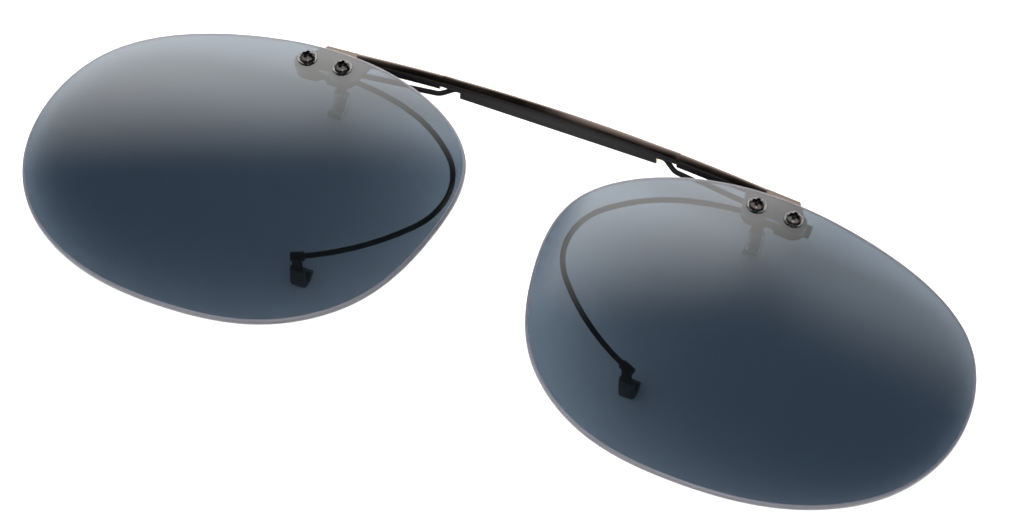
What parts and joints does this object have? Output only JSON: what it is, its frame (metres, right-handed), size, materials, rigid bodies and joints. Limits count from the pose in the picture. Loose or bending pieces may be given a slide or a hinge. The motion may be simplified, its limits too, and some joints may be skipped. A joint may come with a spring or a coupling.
{
  "type": "clip on flip lenses",
  "caption": "Rimless tinted lenses on a metal bar that flips up on a sprung wire clip with sleeved claws, to wear over spectacles.",
  "frame": {"origin": "on the table, under the middle of the whole part's box, as it lies front side up on its four claws", "axes": "+X to the wearer's left, +Y up on the wearer's face, +Z forward, away from the eyes"},
  "size_m": [0.1376, 0.0514, 0.0122],
  "materials": {
    "tinted_lens": "polished, grey tint",
    "clear_plastic": "clear moulded",
    "bright_steel": "bright plated",
    "bar_metal": "dark gunmetal plating",
    "wire_metal": "black plating, satin",
    "claw_metal": "dark gunmetal plating",
    "brass": "turned",
    "spring_steel": "rolled",
    "clear_rubber": "clear vinyl, slightly milky",
    "black_rubber": "black vinyl, satin"
  },
  "bodies": {
    "clip": {"hinge_wire": "wire_metal", "wire_ferrule_left": "wire_metal", "wire_ferrule_right": "wire_metal", "spring_arm_left": "wire_metal", "spring_arm_right": "wire_metal", "upper_claw_left": "claw_metal", "upper_claw_right": "claw_metal", "upper_sleeve_left": "clear_rubber", "upper_sleeve_right": "clear_rubber"},
    "flip_front": {"front_bar": "bar_metal", "hinge_channel": "wire_metal", "detent_leaf": "spring_steel", "screw_washers": "clear_plastic", "lens_screws": "bright_steel", "hinge_bush_left": "brass", "hinge_bush_right": "brass", "lens_left": "tinted_lens", "lens_right": "tinted_lens", "twin_bush_left": "clear_plastic", "twin_bush_right": "clear_plastic"},
    "lower_hook_left": {"lower_claw_left": "claw_metal", "lower_sleeve_left": "black_rubber"},
    "lower_hook_right": {"lower_claw_right": "claw_metal", "lower_sleeve_right": "black_rubber"}
  },
  "joints": [
    {"name": "flip_hinge", "type": "hinge", "parent": "clip", "child": "flip_front", "pos_m": [0, 0.02475, 0.00678], "axis": [-1, 0, 0], "range_deg": [0, 90]},
    {"name": "claw_spread_left", "type": "slide", "parent": "clip", "child": "lower_hook_left", "axis": [0, -1, 0], "range_m": [0, 0.006], "stiffness_N_per_m": 150, "deforming": ["spring_arm_left"]},
    {"name": "claw_spread_right", "type": "slide", "parent": "clip", "child": "lower_hook_right", "axis": [0, -1, 0], "range_m": [0, 0.006], "stiffness_N_per_m": 150, "deforming": ["spring_arm_right"]}
  ]
}
